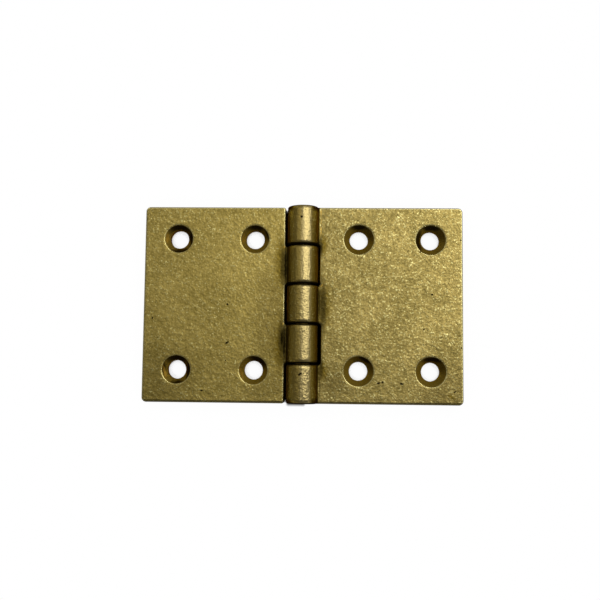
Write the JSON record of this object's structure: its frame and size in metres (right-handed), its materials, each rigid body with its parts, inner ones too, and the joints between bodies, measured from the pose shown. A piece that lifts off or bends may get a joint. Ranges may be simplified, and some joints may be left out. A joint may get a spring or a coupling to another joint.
{
  "type": "back flap hinge",
  "caption": "Solid brass back flap hinge: two broad leaves with countersunk screw holes turn on one pin through a round knuckled barrel.",
  "frame": {"origin": "middle of the pin's axis, which is the middle of the barrel", "axes": "the hinge lies opened flat: +Y along the pin, +X across the leaves towards the three-knuckle leaf, +Z out of the countersunk faces"},
  "size_m": [0.0826, 0.0508, 0.008],
  "materials": {
    "leaf_brass": "tumbled antique brass, satin, with dark patina in the cracks and worn bright edges",
    "pin_brass": "drawn brass rod, dulled"
  },
  "bodies": {
    "three_knuckle_leaf": {"three_knuckle_leaf": "leaf_brass", "hinge_pin": "pin_brass"},
    "two_knuckle_leaf": {"two_knuckle_leaf": "leaf_brass"}
  },
  "joints": [
    {"name": "leaf_fold", "type": "hinge", "parent": "three_knuckle_leaf", "child": "two_knuckle_leaf", "pos_m": [0, 0, 0], "axis": [0, 1, 0], "range_deg": [-110, 180]}
  ]
}
